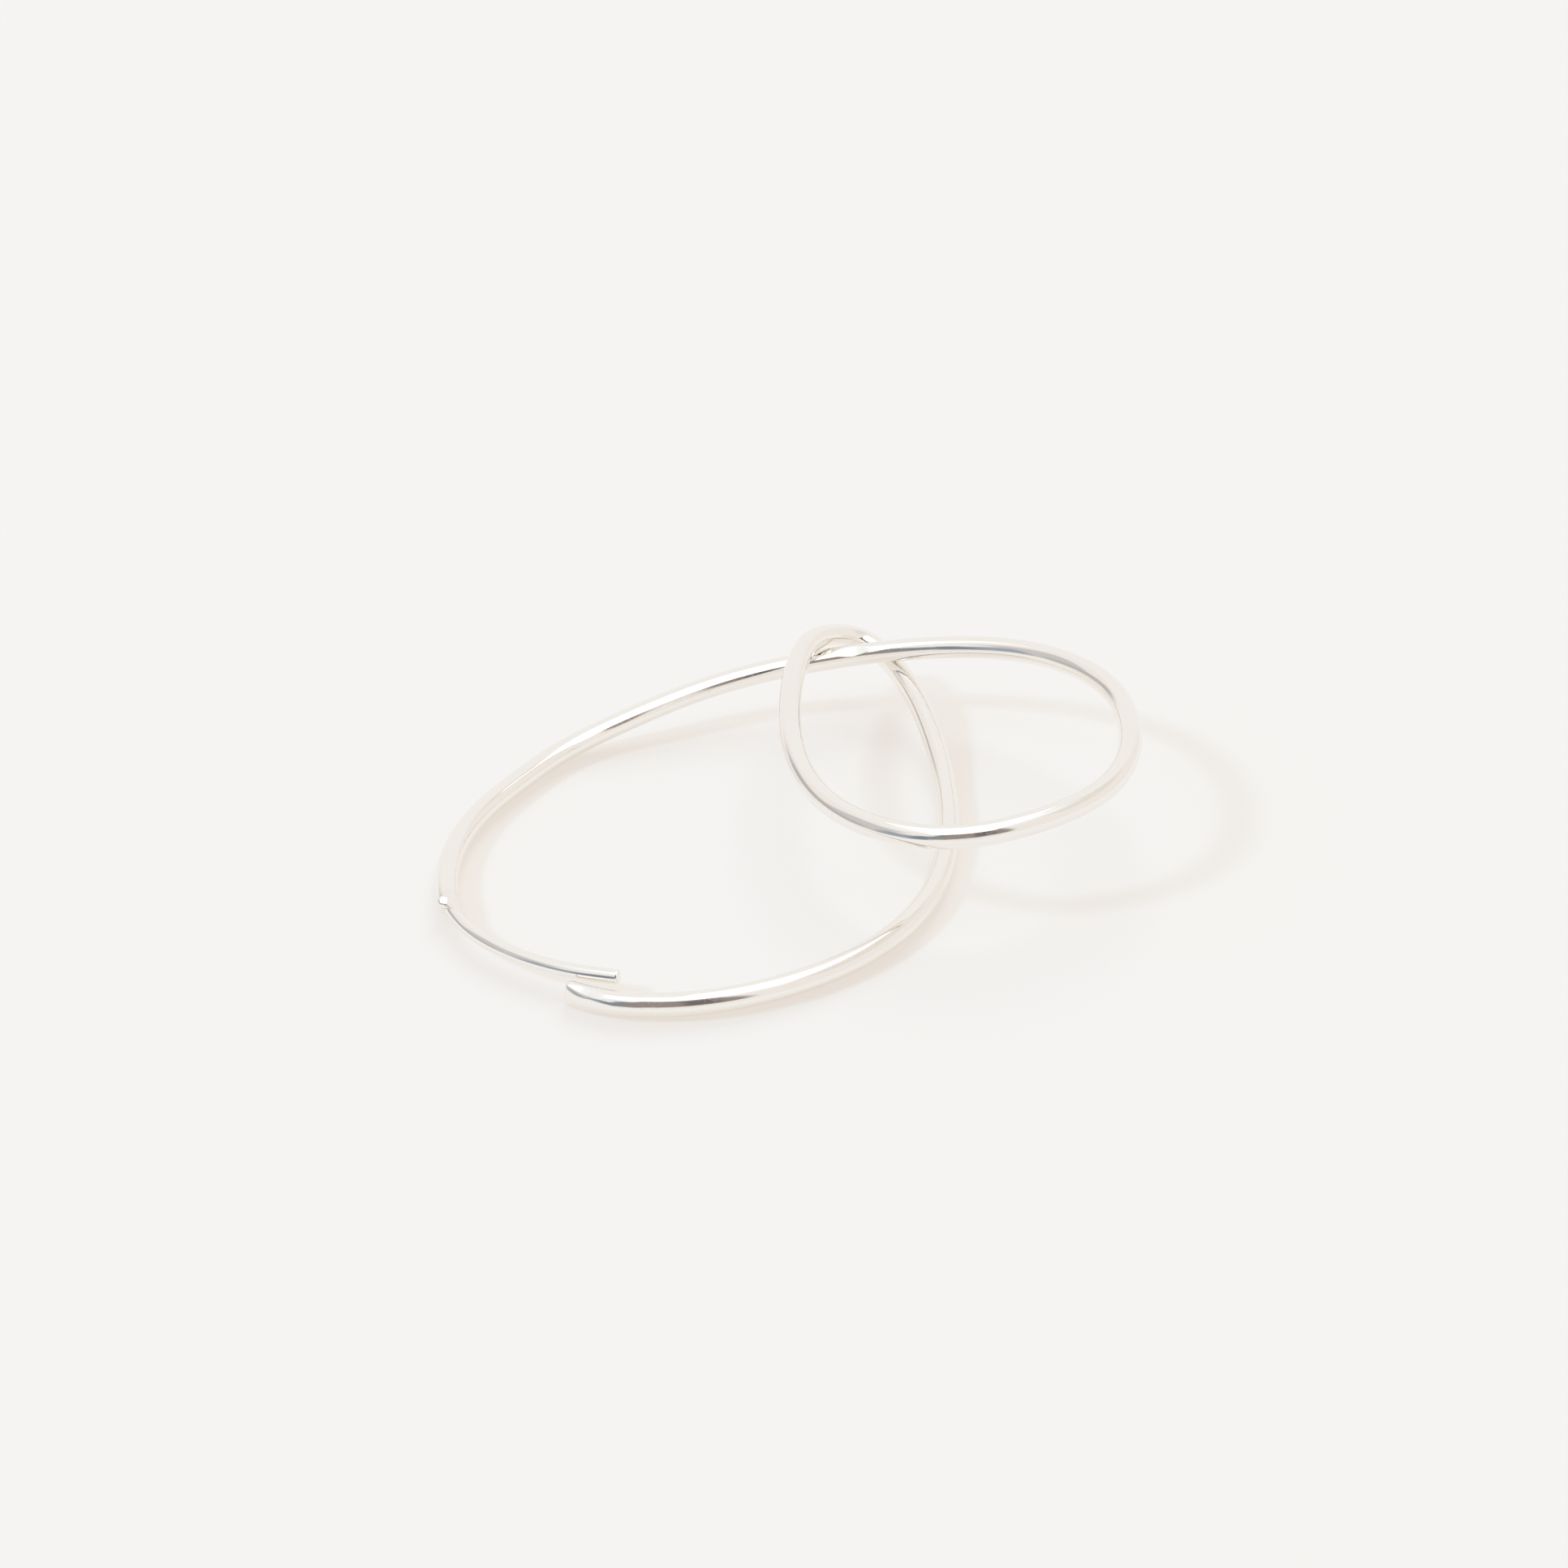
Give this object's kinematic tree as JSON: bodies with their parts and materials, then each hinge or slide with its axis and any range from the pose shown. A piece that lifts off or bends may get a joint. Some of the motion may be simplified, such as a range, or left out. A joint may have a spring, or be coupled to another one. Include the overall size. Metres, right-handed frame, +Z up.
{
  "type": "looped wire hoop earring",
  "caption": "Polished silver wire earring: an open hoop of round wire twisted once round itself into a smaller raised loop, with a thin ear pin soldered on its end.",
  "frame": {"origin": "on the surface that the earring lies on, under the middle of its own box", "axes": "+X along the length, from the solder joint towards the small loop; +Y across, away from the cut thick end; +Z up from the surface"},
  "size_m": [0.0386, 0.0308, 0.0065],
  "materials": {
    "silver": "polished silver"
  },
  "bodies": {
    "root": {"earring_wire": "silver"}
  },
  "joints": []
}
